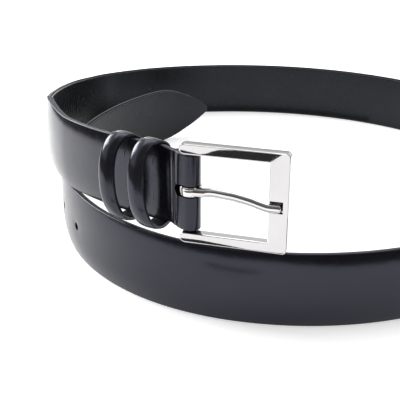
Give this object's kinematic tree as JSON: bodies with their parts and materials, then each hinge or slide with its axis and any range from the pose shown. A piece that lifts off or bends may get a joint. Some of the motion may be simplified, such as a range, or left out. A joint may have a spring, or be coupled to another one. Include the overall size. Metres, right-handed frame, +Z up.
{
  "type": "dress belt",
  "caption": "Black leather dress belt coiled on edge, with a polished frame buckle, swinging prong, fixed keeper, sliding keeper and punched pointed tail.",
  "frame": {"origin": "centre of the coil's footprint, on the surface it stands on", "axes": "+Z up across the strap's width; the buckle stretch runs along X with the buckle towards +X and the strap's outer face towards -Y"},
  "size_m": [0.3044, 0.2912, 0.0798],
  "materials": {
    "face_leather": "smooth polished black calf with a soft sheen",
    "filler": "raw bonded leather board",
    "lining": "matt fine-grained black lining leather",
    "thread": "waxed black thread",
    "keeper_leather": "smooth polished black calf over padding",
    "padding": "dense fibre padding",
    "keeper_lining": "plain black leather strip",
    "staple": "bright wire",
    "buckle_metal": "mirror polished",
    "bar_metal": "drawn bar"
  },
  "bodies": {
    "strap": {"strap_face_leather": "face_leather", "strap_filler": "filler", "strap_lining": "lining", "stitching_under_fixed_keeper": "thread", "stitching_turnback": "thread", "fixed_keeper_cover": "keeper_leather", "fixed_keeper_padding": "padding", "fixed_keeper_backing": "keeper_lining"},
    "buckle": {"buckle_frame": "buckle_metal", "buckle_heel_bar": "bar_metal"},
    "prong": {"buckle_prong": "buckle_metal"},
    "sliding_keeper": {"sliding_keeper_cover": "keeper_leather", "sliding_keeper_padding": "padding", "sliding_keeper_backing": "keeper_lining", "sliding_keeper_staple": "staple"}
  },
  "joints": [
    {"name": "buckle_swing", "type": "hinge", "parent": "strap", "child": "buckle", "pos_m": [0.05109, -0.12787, 0.05755], "axis": [0, 0, 1], "range_deg": [-50, 60]},
    {"name": "prong_swing", "type": "hinge", "parent": "buckle", "child": "prong", "pos_m": [0.05109, -0.12787, 0.05755], "axis": [0, 0, -1], "range_deg": [0, 85]},
    {"name": "keeper_slide", "type": "hinge", "parent": "strap", "child": "sliding_keeper", "pos_m": [0.02109, 0.03603, 0.0567], "axis": [0.0722, 0, -0.9974], "range_deg": [-2.6, 1.65]}
  ]
}
